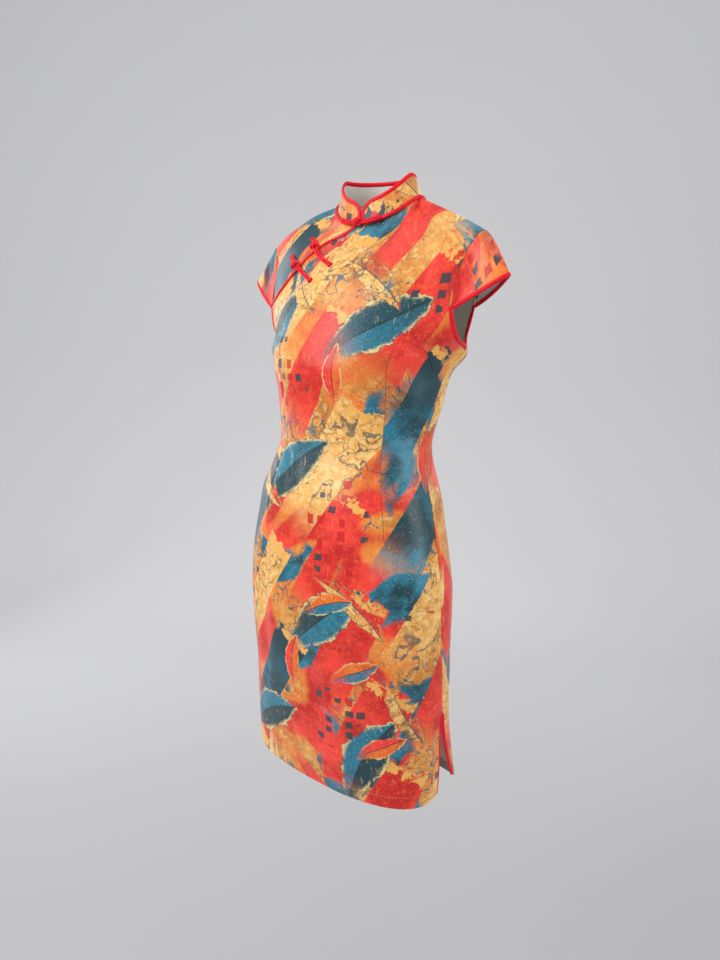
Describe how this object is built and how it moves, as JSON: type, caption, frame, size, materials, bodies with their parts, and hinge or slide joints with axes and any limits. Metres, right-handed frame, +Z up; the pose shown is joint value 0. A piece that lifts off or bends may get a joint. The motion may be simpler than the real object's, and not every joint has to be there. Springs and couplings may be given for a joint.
{
  "type": "cheongsam dress",
  "caption": "Short fitted sheath dress with a stand collar, cap sleeves, a slanting front opening closed by knotted frogs, and side slits, held in its worn form.",
  "frame": {"origin": "middle of the neck opening, level with the neck points, where the wearer's shoulders carry the dress", "axes": "+Z up along the body, -Y the way the wearer faces, +X the wearer's left"},
  "size_m": [0.4825, 0.2352, 0.9563],
  "materials": {
    "satin": "printed satin",
    "piping": "plain red satin"
  },
  "bodies": {
    "root": {"front": "satin", "front_underlap": "satin", "back": "satin", "slit_piping_left_front": "piping", "slit_piping_left_back": "piping", "slit_piping_right_front": "piping", "slit_piping_right_back": "piping", "sleeve_left": "satin", "sleeve_right": "satin", "sleeve_piping_left": "piping", "sleeve_piping_right": "piping", "armhole_piping_left": "piping", "armhole_piping_right": "piping", "collar": "satin", "collar_piping": "piping", "neck_piping": "piping", "opening_piping": "piping", "frog_chest_loop": "piping", "frog_chest_button": "piping", "frog_side_loop": "piping", "frog_side_button": "piping", "frog_collar_loop": "piping", "frog_collar_button": "piping"}
  },
  "joints": []
}
